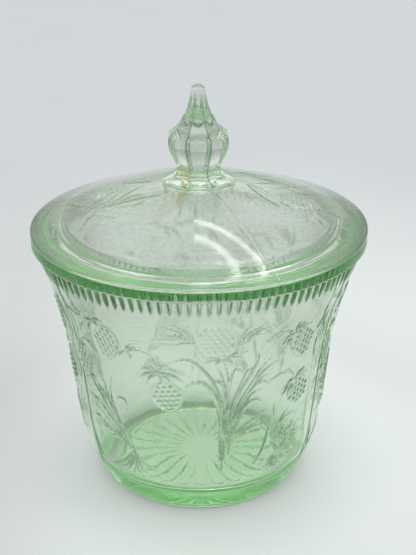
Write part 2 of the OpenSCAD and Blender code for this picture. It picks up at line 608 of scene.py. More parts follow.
@dataclass(frozen=True)
class PressedGlass:
    """Clear green pressed glass, fire-polished, with the faint waviness of its mould.

    Lengths here and in the other finishes are in metres.
    """

    name: str
    clear: Colour
    dull: Colour
    density: float
    seep: Colour = (0.22, 0.72, 0.14, 1.0)
    # Painted shade: the dark colour laid along the pattern's steep edges, and how much of it is laid at full
    # depth.
    painted_edge_shade: Colour = (0.12, 0.19, 0.12, 1.0)
    edge_shade_depth: float = 0.78
    ior: float = 1.51
    polish: float = 0.012
    haze: float = 0.035
    wave_height: float = 0.00006
    grain_height: float = 0.00001
    dust: Mottle = Mottle(38.0, 2.0, 0.5, (0.3, 0.75))
    smear: Mottle = Mottle(55.0, 4.0, 0.6, (0.45, 0.8))
    wave: Mottle = Mottle(120.0, 1.5)
    grain: Mottle = Mottle(900.0, 3.0, 0.6)

    def tint(self, recipe: Recipe, place: bpy.types.NodeSocket) -> bpy.types.NodeSocket:
        """The colour that the surface itself passes, with painted shade along the pattern's edges."""
        plain = recipe.mix(self.film(recipe, place), self.clear, self.dull)
        # The crease attribute holds where painted shade darkens the colour.
        crease = recipe.node("ShaderNodeAttribute", {"attribute_name": PAINTED_SHADE_ATTR})
        return recipe.mix(Flow(recipe, crease.outputs["Fac"]) * self.edge_shade_depth, plain, self.painted_edge_shade)

    def film(self, recipe: Recipe, place: bpy.types.NodeSocket) -> Flow:
        """Where a thin film of dust and handling dulls the glass, from 0 to 1."""
        return self.dust.over(recipe, place)

    def roughness(self, recipe: Recipe, place: bpy.types.NodeSocket) -> Flow:
        """Polish, with faint handling haze."""
        return self.polish + self.haze * self.smear.over(recipe, place)

    def material(self) -> bpy.types.Material:
        """Makes the material.

        Returns:
            A glass whose colour is in its depth, not on its surface.
        """
        made = bpy.data.materials.new(self.name)
        made.use_nodes = True
        recipe = Recipe(made.node_tree)
        place = recipe.place()
        fine = self.grain.over(recipe, place) * (self.grain_height / self.wave_height)
        normal = recipe.bump(self.wave.over(recipe, place) + fine, self.wave_height, 1.0)
        glass = recipe.node(
            "ShaderNodeBsdfPrincipled",
            None,
            {
                "Base Color": self.tint(recipe, place),
                "Roughness": self.roughness(recipe, place),
                "Normal": normal,
                "Transmission Weight": 1.0,
                "IOR": self.ior,
            },
        )
        depth = recipe.node("ShaderNodeVolumeAbsorption", None, {"Color": self.seep, "Density": self.density})
        recipe.node(
            "ShaderNodeOutputMaterial",
            None,
            {"Surface": glass.outputs["BSDF"], "Volume": depth.outputs["Volume"]},
        )
        return made


@dataclass(frozen=True)
class DishGlass(PressedGlass):
    """The dish's glass, frosted by wear on the ring that it stands on."""

    name: str = "dish_green_glass"
    clear: Colour = (0.93, 1.0, 0.93, 1.0)
    dull: Colour = (0.86, 0.86, 0.84, 1.0)
    density: float = 17.5
    film_rise: Point = (0.018, 0.06)
    film_least: float = 0.6
    worn: float = 0.32
    worn_height: float = 0.0009
    scuffs: Mottle = Mottle(1400.0, 5.0, 0.7, (0.35, 0.6))

    def film(self, recipe: Recipe, place: bpy.types.NodeSocket) -> Flow:
        """The film, which lies on the upper wall and thins out towards the foot."""
        _, _, z = recipe.axes(place)
        patches = self.film_least + (1 - self.film_least) * super().film(recipe, place)
        return z.step(*self.film_rise) * patches

    def roughness(self, recipe: Recipe, place: bpy.types.NodeSocket) -> Flow:
        """The polish, with fine scuffs where the foot has slid on tables."""
        _, _, z = recipe.axes(place)
        scuffed = z.step(self.worn_height, 0.0) * self.scuffs.over(recipe, place) * self.worn
        return super().roughness(recipe, place) + scuffed


@dataclass(frozen=True)
class Stain:
    """A thin amber stain that runs down the front of the cover and bends left as it goes."""

    colour: Colour = (0.62, 0.47, 0.24, 1.0)
    strength: float = 0.75
    start_x: float = -0.0052
    bend: float = 0.012
    bend_run: Point = (-0.011, -0.031)
    wander: float = 0.003
    wobble: Mottle = Mottle(160.0, 2.0)
    edge: Point = (0.00323, 0.00085)
    tail: Point = (-0.034, -0.014)
    head: Point = (0.004, -0.004)
    top: Point = (0.141, 0.138)

    def share(self, recipe: Recipe, place: bpy.types.NodeSocket) -> Flow:
        """How strong the stain is at a place, from 0 to 1."""
        x, y, z = recipe.axes(place)
        wander = (self.wobble.over(recipe, place) - 0.5) * self.wander
        middle = self.start_x - y.step(*self.bend_run) * self.bend + wander
        beside = (x - middle).size().step(*self.edge)
        return beside * y.step(*self.tail) * y.step(*self.head) * z.step(*self.top) * self.strength


@dataclass(frozen=True)
class CoverGlass(PressedGlass):
    """The cover's glass, with painted shade at its left and right sides, and stained at its front."""

    name: str = "cover_green_glass"
    clear: Colour = (0.88, 0.90, 0.88, 1.0)
    dull: Colour = (0.64, 0.67, 0.62, 1.0)
    # Painted shade: a darker colour towards the cover's left and right sides, patchy with the dust and
    # specks.
    side_shade: Colour = (0.44, 0.48, 0.42, 1.0)
    side_shade_run: Point = (0.028, 0.062)
    side_shade_least: float = 0.7
    # Painted shade along the sprays' edges, the ring's sides and the knob's corners, darker and deeper than
    # on the dish.
    painted_edge_shade: Colour = (0.03, 0.06, 0.03, 1.0)
    edge_shade_depth: float = 0.95
    density: float = 8.0
    polish: float = 0.004
    haze: float = 0.02
    wave_height: float = 0.00002
    specks: Mottle = Mottle(520.0, 5.0, 0.75, (0.48, 0.6))
    speck_share: float = 0.55
    stain: Stain = Stain()

    def tint(self, recipe: Recipe, place: bpy.types.NodeSocket) -> bpy.types.NodeSocket:
        """The clear colour, with painted shade towards the left and right sides, and the stain laid over it.
        """
        x, _, _ = recipe.axes(place)
        patches = self.side_shade_least + (1 - self.side_shade_least) * self.film(recipe, place)
        # Painted shade at the sides.
        shaded_sides = x.size().step(*self.side_shade_run) * patches
        with_shade = recipe.mix(shaded_sides, super().tint(recipe, place), self.side_shade)
        return recipe.mix(self.stain.share(recipe, place), with_shade, self.stain.colour)

    def film(self, recipe: Recipe, place: bpy.types.NodeSocket) -> Flow:
        """The film, with the fine specks and scratches that a cover gathers."""
        specks = self.speck_share * self.specks.over(recipe, place)
        return (1 - self.speck_share) * super().film(recipe, place) + specks


@dataclass(frozen=True)
class TableTop:
    """A plain pale table, faintly mottled, with painted light about the foot, painted shade at the left and a
    painted glow under the foot.
    """

    pale: Colour = (0.72, 0.76, 0.75, 1.0)
    far: Colour = (0.535, 0.565, 0.58, 1.0)
    far_run: Point = (0.1, 0.5)
    # Painted light: the table is brighter about the foot, lifting the glass's own shadow.
    near: Colour = (0.83, 0.88, 0.86, 1.0)
    painted_light_run: Point = (0.13, 0.078)
    # Painted shade: the table greys towards the left, as if less light fell there.
    left_shade: Colour = (0.50, 0.53, 0.52, 1.0)
    left_shade_run: Point = (-0.03, -0.11)
    left_shade_share: float = 0.6
    # Painted light: a bright disc under the foot, with a glow of its own, stands in for the light that the
    # glass passes onto the table.
    lit: Colour = (0.97, 1.0, 0.97, 1.0)
    lit_run: Point = (0.042, 0.0336)
    unlit: Colour = (0.0, 0.0, 0.0, 1.0)
    lit_strength: float = 0.3
    cloud: Mottle = Mottle(9.0, 4.0, 0.5, (0.35, 0.7))
    cloud_share: float = 0.06
    rough: float = 0.55
    rough_more: float = 0.1
    grain: Mottle = Mottle(260.0, 5.0)
    grain_height: float = 0.0002
    grain_strength: float = 0.4

    def material(self) -> bpy.types.Material:
        """Makes the material.

        Returns:
            A pale table, with painted light about the foot, painted shade at the left, and a painted glow
            under the foot.
        """
        made = bpy.data.materials.new("pale_table")
        made.use_nodes = True
        recipe = Recipe(made.node_tree)
        place = recipe.place()
        x, y, _ = recipe.axes(place)
        out = (x * x + y * y).root()
        # Painted glow under the foot, painted light about it and painted shade at the left.
        cloud, under = self.cloud.over(recipe, place), out.step(*self.lit_run)
        close = recipe.mix(out.step(*self.painted_light_run), self.pale, self.near)
        painted_light_and_shade = recipe.mix(x.step(*self.left_shade_run) * self.left_shade_share, close, self.left_shade)
        spread = recipe.mix(out.step(*self.far_run) + self.cloud_share * cloud, painted_light_and_shade, self.far)
        grain = self.grain.over(recipe, place)
        top = recipe.node(
            "ShaderNodeBsdfPrincipled",
            None,
            {
                "Base Color": recipe.mix(under, spread, self.lit),
                "Roughness": self.rough + self.rough_more * cloud,
                "Emission Color": recipe.mix(under, self.unlit, self.lit),
                "Emission Strength": self.lit_strength,
                "Normal": recipe.bump(grain, self.grain_height, self.grain_strength),
            },
        )
        recipe.node("ShaderNodeOutputMaterial", None, {"Surface": top.outputs["BSDF"]})
        return made


# ---------------------------------------------------------------- the dish


class Side(Enum):
    """The side of a piece that a spray lies on."""

    LEFT = -1
    RIGHT = 1


@dataclass
class BerryWall:
    """The pattern on one third of the dish's wall, which the mould repeats three times.

    Motifs are set in degrees round the wall and millimetres above the table.
    """

    panel: float = 120.0
    left_edge: float = -59.0
    reference_r: float = 56.0
    low: float = 14.5
    high: float = 99.0
    cell: float = 0.12
    blade_w: float = 0.95
    blade_h: float = 0.45
    leaf_h: float = 0.16
    berry_h: float = 0.75
    sheet: ReliefMap = field(init=False)

    def __post_init__(self) -> None:
        """Draws the whole panel."""
        low = (self.run(self.left_edge), self.low)
        high = (self.run(self.left_edge + self.panel), self.high)
        self.sheet = ReliefMap(low, high, self.cell)
        self.draw_right_plant()
        self.draw_middle_plant()
        self.draw_left_plant()

    def run(self, degrees: float) -> float:
        """Distance round the wall for an angle."""
        return math.radians(degrees) * self.reference_r

    def flat(self, places: Sequence[Point]) -> list[Point]:
        """Places in degrees and millimetres, laid out flat in millimetres."""
        return [(self.run(degrees), height) for degrees, height in places]

    def blade(self, *places: Point, width: float = 1.0) -> None:
        """A blade through some places, width times the usual one."""
        self.sheet.blade(self.flat(places), self.blade_w * width, self.blade_h)

    def leaf(self, *places: Point, width: float) -> None:
        """A broad faint leaf through some places, width millimetres wide."""
        self.sheet.leaf(self.flat(places), width, self.leaf_h)

    def fan(self, root: Point, *tips: Point, width: float = 1.0, bow: float = 0.12) -> None:
        """Blades from one root to some tips."""
        self.sheet.fan(self.flat([root])[0], self.flat(tips), self.blade_w * width, self.blade_h, bow)

    def berry(self, middle: Point, size: Point, lean: float, share: float = 1.0) -> None:
        """A berry, its size in millimetres, its lean in degrees and its share of the usual height."""
        self.sheet.berry(self.flat([middle])[0], size, lean, self.berry_h * share)

    def draw_right_plant(self) -> None:
        """The plant at the right of the panel: a tuft of roots, blades, and two berries above."""
        root = (36.5, 27.5)
        self.fan(root, (27, 24), (28, 21), (30.5, 19), (33, 18), (36, 17.5), (38.5, 19), bow=-0.18)
        self.fan(root, (41, 20), (43.5, 22.5), (46.5, 24), (49.5, 25.5), bow=-0.18)
        self.fan(root, (32.3, 34), (33.6, 38.5), (36.5, 41), (40.5, 42.5), (43, 41), (46, 39))
        self.fan(root, (50.5, 36.5), (55.5, 35), (53.5, 32.5), (48.5, 31))
        self.blade((33.5, 36), (32.2, 44), (32.5, 54))
        self.blade((33.5, 38), (37, 44.5), (42, 49.5))
        self.blade((33.5, 40), (40, 44.5), (47.5, 44.5))
        self.blade((38, 31), (42, 37), (46, 43), width=1.2)
        self.blade((37.5, 31), (43, 35), (49.5, 39.5), width=1.2)
        self.berry((45.5, 55), (12.5, 12.5), 25)
        self.fan((43, 61.5), (35.5, 53.5), (35.5, 57), (38, 60.5), (40.5, 56), (45, 58), width=1.1)
        self.fan((43, 61.5), (47, 65), (51, 65), (52, 61.5), (50.5, 59), width=1.1)
        self.blade((29, 64.8), (33, 66.5), (38, 67), (41, 64.5), (42.5, 61.5))
        self.berry((43.5, 79.5), (13, 17), 20)
        self.fan((38.3, 85), (31.5, 79.5), (32.5, 82.5), (34.5, 78.5), (37, 78.5), (33, 86), width=1.1)
        self.fan((38.3, 85), (39.5, 90.5), (42.5, 89.5), (42, 84.5), width=1.1)
        self.leaf((23, 79), (27, 84), (31, 88.5), (35, 92), width=7.0)
        self.blade((25, 84.5), (30, 88), (35, 87.3), (38.3, 85))
        self.leaf((53.5, 68), (55.5, 77), (57, 86), width=5.0)
        self.blade((51.5, 82), (53, 85), (57.5, 88))
        self.blade((54, 93), (53.5, 88), (56, 82), (58.5, 76))

    def draw_middle_plant(self) -> None:
        """The plant in the middle: a tall fan of blades, an arched stem, and two berries."""
        self.blade((9.5, 24), (9.2, 45), (7.5, 60), (4, 70), (-3, 78.5), (-9, 78.5), (-14, 74.5))
        self.blade((8.7, 30), (8.3, 50), (6, 61), (2, 67), (-2, 68), (-5.5, 66), width=1.5)
        self.blade((9.8, 40), (10, 60), (8.8, 70), (6.5, 76))
        self.blade((10.3, 30), (10.8, 55), (11.2, 68), (9.5, 78.5), width=1.2)
        self.blade((10.8, 50), (11.8, 66), (13.5, 73.5), (16.5, 73))
        self.blade((5.5, 68.5), (7.5, 68), (9, 66))
        self.blade((11, 40), (13, 55), (17, 68), (18.8, 72.5), (22, 73.8))
        self.blade((11.2, 42), (14, 57), (19.5, 69), (22.5, 76), (23, 81), width=1.2)
        self.blade((11.5, 38), (15, 54), (21, 66), (24.5, 72.5), (29, 77), width=1.1)
        self.blade((11.5, 44), (18, 60), (25.5, 70.5), (34, 75.3), width=1.1)
        self.blade((11.8, 36), (16, 53), (22, 64), (25.5, 68), (29.5, 68.5))
        self.blade((12, 42), (17, 56), (22.5, 64.5), (27, 65.3), (29.8, 62))
        self.blade((12, 32), (16, 50), (20.5, 59.5), (25.5, 62.5))
        self.blade((12, 34), (15, 46), (19, 55.5), (23, 57.5), (26, 55))
        self.fan((12, 40), (28, 51), (27, 47), (30, 46), (26, 42.5), (18, 43.5), width=0.9, bow=0.06)
        self.blade((24.5, 25), (28, 31), (30, 39), (31, 46))
        self.berry((6, 87.5), (14, 18.5), 180, 0.45)
        self.fan((9, 78.8), (1.5, 77.5), (2.5, 80.5), (5.5, 76.5), (13, 76.5), (14.5, 80), (17.5, 82))
        self.fan((16, 86.5), (17.5, 95), (20.5, 93.5), (24, 94.5), (28.5, 93.3), (23.5, 90), (20, 87.5))
        self.fan((-2, 87.5), (-13, 95.5), (-9, 96.5), (-6, 95), (-14, 91), (-10.5, 92.5), (-9, 86.5))
        self.leaf((-30, 85.5), (-24, 89.5), (-15, 90), (-4, 88), width=8.5)

    def draw_left_plant(self) -> None:
        """The plant at the left: a leaning sheaf of blades, roots, and the berries about it."""
        self.berry((-13.5, 60.5), (13, 14), 10, 0.4)
        self.fan((-16.5, 71.5), (-24.5, 68.5), (-24, 73), (-21, 75.5), (-16.5, 79.5), (-13, 76.5))
        self.fan((-16.5, 71.5), (-21.5, 66), (-15.5, 65.5), (-9, 70.5), (-6, 68), (-10.5, 66.5))
        root = (-30.5, 31)
        self.blade(root, (-35.5, 40), (-39.5, 50), (-40.5, 57), (-38.8, 64.5))
        self.blade(root, (-36, 41), (-41.5, 51), (-43.8, 60), (-47.5, 62))
        self.blade(root, (-37, 41.5), (-45, 54), (-53, 63), width=1.2)
        self.blade(root, (-38, 41), (-46, 51), (-50, 56), (-55, 57), width=1.1)
        self.blade(root, (-38.5, 40.5), (-47, 48.5), (-51, 53.5))
        self.blade((-34, 35), (-43, 44), (-51, 49.5), (-57.5, 50), width=1.2)
        self.blade((-34, 34), (-43, 41), (-50, 45), (-56, 46.5), width=1.1)
        self.blade((-34, 33.5), (-42, 38), (-50, 40.5), (-56, 40.5))
        self.blade((-35, 33), (-43, 36.5), (-50, 37), (-55, 35.5))
        self.blade((-32, 32), (-39, 35), (-44, 33.5))
        self.blade((-32.5, 33), (-38, 43.5), (-44, 54), (-48, 58.5))
        self.blade((-33.5, 34.5), (-41, 46), (-48.5, 55), (-56, 60))
        self.blade((-34, 34.5), (-42, 42.5), (-50, 47.5), (-58, 49))
        self.blade((-33, 32.5), (-41, 36.5), (-48, 38.5), (-54, 38))
        self.blade((-36.5, 55), (-34, 55.5), (-32.3, 53.5), (-32, 50.5))
        self.fan((-31, 30), (-39.5, 16.5), (-43.5, 17), (-51, 18), (-55, 15.5), width=1.0, bow=-0.1)
        self.fan((-31, 30), (-34, 17), (-28, 16.5), (-24, 18.5), (-20, 22), width=0.9, bow=-0.1)
        self.blade((-58.5, 32), (-57, 26), (-55.5, 20), (-54.5, 15))
        self.berry((-38.5, 81), (12.5, 18), -12, 0.6)
        self.fan((-42.5, 90.5), (-52.5, 82), (-50, 86.5), (-46.5, 83), (-37, 91.5), (-40, 87), width=1.1)
        self.blade((-55, 76), (-50.5, 78), (-46.5, 75), (-44.5, 71.5))
        self.blade((-58, 95), (-57.5, 91.5), (-52, 89.8), (-44, 90.3), width=1.2)
        self.blade((-51.5, 96), (-50.5, 92.5), (-46, 90.8))
        self.berry((-55, 67), (11, 17), 5, 0.7)
        self.fan((-53, 59), (-57.5, 56), (-49.5, 57), (-48.5, 60.5), (-50, 64), width=1.1)
        self.fan((-29, 80), (-26, 84), (-22, 83), (-19, 80.5), (-33, 76), (-27, 76), width=0.9)

    def __call__(self, angle: np.ndarray, radius: np.ndarray, height: np.ndarray) -> np.ndarray:
        """The pattern's height on the wall, for Skin.stretch."""
        degrees = (np.degrees(angle) - self.left_edge) % self.panel + self.left_edge
        return self.sheet.sample(self.run(1.0) * degrees, height)


@dataclass
class Dish:
    """The dish: an open shell with a flared wall, a heavy floor and a plain rim.

    Fields that end in _step or _rows say how fine the mesh is, and _pull says where the pulling
    points of a curve lie.
    """

    rim_r: float = 70.0
    seat_h: float = 111.5
    rim_band_h: float = 4.2
    band_out: float = 1.6
    foot_r: float = 42.6
    foot_edge: float = 0.5
    foot_in: float = 1.2
    waist: Point = (54.7, 46.0)
    side_pull: float = 0.65
    flare_pull: float = 0.36
    foot_lean: float = 0.625
    waist_lean: float = 0.1
    lip_lean: float = 0.316
    wall_t: float = 4.6
    floor_t: float = 9.0
    heel_rise: float = 14.0
    heel_run: float = 9.0
    heel_pull: Point = (1.5, 1.0)
    recess_r: float = 37.0
    recess_d: float = 1.2
    recess_slope: float = 5.0
    recess_rows: int = 7
    hub_r: float = 2.0
    edge_r: float = 0.6
    ribs: int = 114
    rib_low: float = 99.6
    rib_h: float = 1.0
    rib_fade: float = 0.3
    groove_half: Point = (0.12, 0.24)
    groove_flat: float = 0.2
    petals: int = 24
    petal_h: float = 0.7
    petal_tip: float = 28.0
    petal_swell: float = 5.0
    petal_end: float = 2.5
    petal_root: Point = (5.0, 22.0)
    seams: Seams = Seams(61.0, 3, 0.5, 0.32)
    seam_foot: Point = (12.0, 16.0)
    fine_columns: int = 912
    coarse_columns: int = 228
    berry_bands: tuple[Point, ...] = ((49.0, 67.0), (70.0, 97.0))
    berry_step: float = 0.5
    plain_step: float = 0.72
    measure_step: float = 0.05
    recess_step: float = 0.8
    heel_step: float = 2.0
    flare_step: float = 1.1
    inside_step: float = 5.0
    inner_heel_step: float = 1.9
    heel_top: float = 13.0
    seat_gap: float = 0.05
    band_taper: float = 0.5
    band_slope: float = 0.25
    band_root: Point = (0.4, 0.05)
    band_belly: Point = (0.1, 0.3)
    band_turns: tuple[float, float, float] = (-50.0, 8.0, 90.0)
    flare_rise: float = 8.0
    flare_lean: float = 0.56

    @classmethod
    def from_frame(cls) -> "Dish":
        """The dish with its rim and seat where the frame has them."""
        _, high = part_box("jar")
        return cls(rim_r=high.x / MM, seat_h=high.z / MM)

    @property
    def lip(self) -> Point:
        """Where the wall ends, under the rim band."""
        return self.rim_r - self.band_out, self.seat_h - self.rim_band_h

    def wall(self) -> np.ndarray:
        """The outside wall from foot to lip."""
        foot, rise = (self.foot_r, self.foot_edge), self.lip[1] - self.waist[1]
        low, middle = self.waist[1] / 4, self.waist[1] / 2
        heel = (foot[0] + low * self.foot_lean, foot[1] + low)
        shin = (self.waist[0] - middle * self.waist_lean, self.waist[1] - middle)
        up, down = self.side_pull * rise, self.flare_pull * rise
        side = (self.waist[0] + up * self.waist_lean, self.waist[1] + up)
        flare = (self.lip[0] - down * self.lip_lean, self.lip[1] - down)
        return np.vstack([cubic(foot, heel, shin, self.waist), cubic(self.waist, side, flare, self.lip)[1:]])

    def rosette(self, angle: np.ndarray, radius: np.ndarray, height: np.ndarray) -> np.ndarray:
        """The rosette under the foot: domed petals with round ends about a plain button."""
        across = np.abs(np.cos(0.5 * self.petals * angle))
        tip = self.petal_tip + self.petal_swell * across
        inside = smooth_step(0.0, self.petal_end, tip - radius) * smooth_step(*self.petal_root, radius)
        return self.petal_h * inside * across

    def ribbing(self, angle: np.ndarray, height: np.ndarray) -> np.ndarray:
        """The ribs under the rim, cut between as grooves that run out downwards."""
        pitch = 2 * math.pi / self.ribs
        away = np.abs((angle + 0.5 * pitch) % pitch / pitch - 0.5)
        rise = np.clip((height - self.rib_low) / (self.lip[1] - self.rib_low), 0.0, 1.0)
        half = self.groove_half[0] + self.groove_half[1] * rise
        groove = smooth_step(half, self.groove_flat * half, away)
        return -self.rib_h * smooth_step(0.0, self.rib_fade, rise) * groove

    def build(self) -> bpy.types.Object:
        """Makes the dish.

        Returns:
            The glass piece, not yet dressed.
        """
        pattern = BerryWall()

        def outside(angle: np.ndarray, radius: np.ndarray, height: np.ndarray) -> np.ndarray:
            """Everything raised on the outside wall."""
            seams = smooth_step(*self.seam_foot, height) * self.seams.relief(angle, radius)
            return np.maximum(pattern(angle, radius, height), seams) + self.ribbing(angle, height)

        skin = Skin(self.recess_d)
        flat_r, mid_r = self.recess_r - self.recess_slope, self.recess_r - 0.5 * self.recess_slope
        ends = (flat_r, self.recess_d), (self.recess_r, 0.0)
        rise = cubic(ends[0], (mid_r, self.recess_d), (mid_r, 0.0), ends[1], self.recess_rows)
        flat = resample(np.array([[self.hub_r, self.recess_d], ends[0]]), self.recess_step)
        skin.stretch(np.vstack([flat, rise[1:-1]]), self.fine_columns // 2, self.rosette, 0.0)
        skin.ring(*self.level(self.recess_r, 0.0, self.coarse_columns))
        skin.ring(*self.level(self.foot_r - self.foot_in, 0.0, self.coarse_columns))
        skin.ring(*self.level(self.foot_r - self.foot_edge, 0.0, self.fine_columns))
        wall = self.wall()
        low, high = (np.searchsorted(wall[:, 1], h) for h in (self.heel_top, self.rib_low - 1.0))
        heel, side, flare = wall[: low + 1], wall[low : high + 1], wall[high:]
        skin.stretch(resample(heel, self.heel_step), self.fine_columns, outside)
        skin.stretch(self.side_rows(side), self.fine_columns, outside)
        skin.stretch(resample(flare, self.flare_step)[1:], self.fine_columns, outside)
        self.add_rim(skin)
        self.add_inside(skin, wall)
        return skin.build("dish")

    def side_rows(self, side: np.ndarray) -> np.ndarray:
        """The wall's rows, closer together where the berries are.

        Args:
            side: The outline of the patterned part of the wall.

        Returns:
            The outline's points without the first, one for each row of the mesh.
        """
        fine = resample(side, self.measure_step)
        step = np.full(len(fine), self.plain_step)
        for low, high in self.berry_bands:
            step[(fine[:, 1] > low) & (fine[:, 1] < high)] = self.berry_step
        lengths = np.hypot(*np.diff(fine, axis=0).T)
        rows = np.concatenate([[0.0], np.cumsum(lengths / step[1:])])
        places = np.linspace(0.0, rows[-1], round(rows[-1]) + 1)[1:]
        return np.stack([np.interp(places, rows, fine[:, k]) for k in (0, 1)], 1)

    @staticmethod
    def level(radius: float, height: float, columns: int) -> tuple[np.ndarray, np.ndarray]:
        """The radii and heights of a plain level ring."""
        return np.full(columns, radius), np.full(columns, height)

    def add_rim(self, skin: Skin) -> None:
        """Adds the plain band round the rim and its flat top."""
        out, low, top = self.rim_r, self.lip[1], self.seat_h - self.seat_gap
        slim, edge = out - self.band_taper, low + self.band_slope
        under, side, flat = self.band_turns
        root, belly = self.band_root, self.band_belly
        band = np.vstack([
            [[self.lip[0] + root[0], low + root[1]], [out - 0.5, edge]],
            corner((out - self.edge_r, edge + self.edge_r), self.edge_r, under, side, 3),
            [[0.5 * (out + slim) + belly[0], 0.5 * (low + top) + belly[1]]],
            corner((slim - self.edge_r, top - self.edge_r), self.edge_r, side, flat, 4),
        ])
        skin.stretch(band, self.fine_columns // 2)
        skin.ring(*self.level(out - self.band_out, top, self.coarse_columns))

    def add_inside(self, skin: Skin, wall: np.ndarray) -> None:
        """Adds the mouth, the smooth inside wall and the floor."""
        top = self.seat_h - self.seat_gap
        heel_top, flare_from = self.floor_t + self.heel_rise, top - self.flare_rise
        inside = wall[(wall[:, 1] > heel_top + 1) & (wall[:, 1] < flare_from)] - [self.wall_t, 0.0]
        mouth_r = inside[-1][0] + self.flare_rise * self.flare_lean
        end, (low_pull, high_pull) = inside[0], self.heel_pull
        edge = (end[0] - self.heel_run, self.floor_t)
        low, high = (end[0] - low_pull, self.floor_t), (end[0] - high_pull, end[1] - self.heel_rise / 2)
        heel = cubic(edge, low, high, tuple(end))
        mouth = corner((mouth_r + self.edge_r, top - self.edge_r), self.edge_r, 90, 180, 3)
        skin.stretch(mouth, self.coarse_columns)
        skin.stretch(resample(inside[::-1], self.inside_step), self.coarse_columns)
        skin.stretch(resample(heel[::-1], self.inner_heel_step)[1:], self.coarse_columns)
        skin.ring(*self.level(edge[0] * 0.5, self.floor_t, self.coarse_columns))
        skin.close(self.floor_t)


# ---------------------------------------------------------------- the cover


@dataclass
class Cover:
    """The cover: a domed disc with a locating ring below and a faceted spire knob above.

    Heights are above the seat until a mesh is made. Fields that hold runs of small offsets are
    points out from and up from the place that they are named for.
    """

    rim_r: float = 70.0
    seat_h: float = 111.5
    knob_top: float = 60.4
    flange_h: float = 2.4
    flange_r: float = 1.1
    flange_in: float = 2.0
    slope_top: Point = (-2.1, 0.12)
    slope_foot: Point = (0.5, -0.12)
    dome_r: float = 66.8
    dome_h: float = 20.0
    dome_t: float = 4.4
    dome_pull: Point = (0.27, 0.2)
    under_slope: float = 0.31
    under_flat_r: float = 9.0
    ring_r: float = 61.0
    ring_t: float = 5.4
    ring_d: float = 6.0
    ring_root: tuple[Point, ...] = ((-1.4, 0.6), (-0.8, 0.3), (-0.2, -0.2), (0.0, -0.8))
    ring_lead: float = 0.3
    edge_r: float = 0.6
    skirt: Point = (14.7, 21.3)
    skirt_foot: Point = (1.4, -0.35)
    fillet: tuple[Point, ...] = ((1.0, -0.3), (0.4, -0.1), (0.0, 0.4))
    fillet_rows: int = 5
    land_r: float = 13.5
    land_rise: float = 0.25
    neck: Point = (8.5, 25.8)
    belly: Point = (12.2, 38.6)
    crease: Point = (11.9, 40.0)
    spire: Point = (3.4, 55.8)
    sides: int = 8
    hollow: float = 0.4
    hollow_run: Point = (0.5, 4.0)
    spire_hollow: float = 0.2
    corner_cut: float = 0.105
    # Where the painted shade on the facets' corners begins, as a share of each flat.
    corner_shade_share: float = 0.26
    # How strongly painted shade marks the sprays' edges, and the ring's root at the left and right sides.
    spray_shade: float = 0.8
    ring_side_shade: float = 1.0
    flute: float = 0.75
    flute_least: float = 0.25
    flute_run: float = 0.45
    round_run: Point = (-3.0, -0.5)
    arc_top: float = 47.0
    arc_drop: float = 2.4
    arc_edge: float = 0.2
    # How wide the painted shade line along the arcs is.
    arc_shade_run: Point = (0.5, 0.1)
    seams: Seams = Seams(26.0, 2, 0.35, 0.16)
    dome_columns: int = 720
    knob_columns: int = 360
    under_columns: int = 240
    dome_step: float = 0.6
    under_step: float = 3.0
    spray_half: Point = (60.0, 40.0)
    spray_cell: float = 0.15
    spray_w: float = 0.95
    stem_w: float = 1.1
    spray_h: float = 0.4
    berry_h: float = 0.5
    leaf_w: float = 6.0
    spray: ReliefMap = field(init=False)

    def __post_init__(self) -> None:
        """Draws the sprays on the dome."""
        across, back = self.spray_half
        self.spray = ReliefMap((-across, -back), (across, back), self.spray_cell)
        for side in Side:
            self.draw_spray(side)

    @classmethod
    def from_frame(cls) -> "Cover":
        """The cover with its rim, seat and tip where the frame has them."""
        _, jar_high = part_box("jar")
        _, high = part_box("cover")
        seat = jar_high.z / MM
        return cls(rim_r=high.x / MM, seat_h=seat, knob_top=high.z / MM - seat)

    def draw_spray(self, side: Side) -> None:
        """A spray along one side of the dome: a stem with leaves, and a berry behind it."""
        s = side.value

        def on_side(*places: Point) -> list[Point]:
            """Places measured outwards from the knob, on this side."""
            return [(s * out, s * y) for out, y in places]

        press, height = self.spray, self.spray_h
        press.blade(on_side((15, 14), (30, 13), (46, 11.5)), self.stem_w, height)
        blades = [
            ((47, 4), (0.45 * (47 + tip[0]) + 3, 0.5 * (4 + tip[1]) - 2), tip)
            for tip in ((62, -10), (57, -17), (50, -22), (43, -22), (37, -18), (58, -3), (60, 4))
        ]
        blades += [
            ((34, 13), (26, 9.5), (19, 12.5)),
            ((36, 12.5), (28, 5), (22.5, 1)),
            ((39, 12), (34, 4), (30, -1)),
            ((47, 8), (41, 4), (36.5, 8.5)),
            ((36, 14), (27, 17.5), (16, 16.5)),
            ((38, 15), (31, 21.5), (25, 24)),
            ((44, 14), (38, 20), (33, 23.5)),
            ((40, 13), (45, 19), (47, 25)),
        ]
        for places in blades:
            press.blade(on_side(*places), self.spray_w, height)
        press.berry(on_side((38, -7))[0], (13.0, 15.0), 150.0 * s, self.berry_h)
        press.leaf(on_side((20, -2), (27, -9), (32, -16)), self.leaf_w, height)

    def dome_relief(self, angle: np.ndarray, radius: np.ndarray, height: np.ndarray) -> np.ndarray:
        """What stands on the dome: the sprays and the two seams of its mould."""
        sprays = self.spray.sample(radius * np.sin(angle), -radius * np.cos(angle))
        return np.maximum(sprays, self.seams.relief(angle, radius))

    def dome(self, outer: Point, inner: Point) -> np.ndarray:
        """The gentle curve of the dome between two of its points."""
        run, fall = outer[0] - inner[0], inner[1] - outer[1]
        near = (outer[0] - run / 4, outer[1] + self.dome_pull[0] * fall)
        far = (inner[0] + run / 3, inner[1] - self.dome_pull[1] * fall)
        return cubic(outer, near, far, inner)

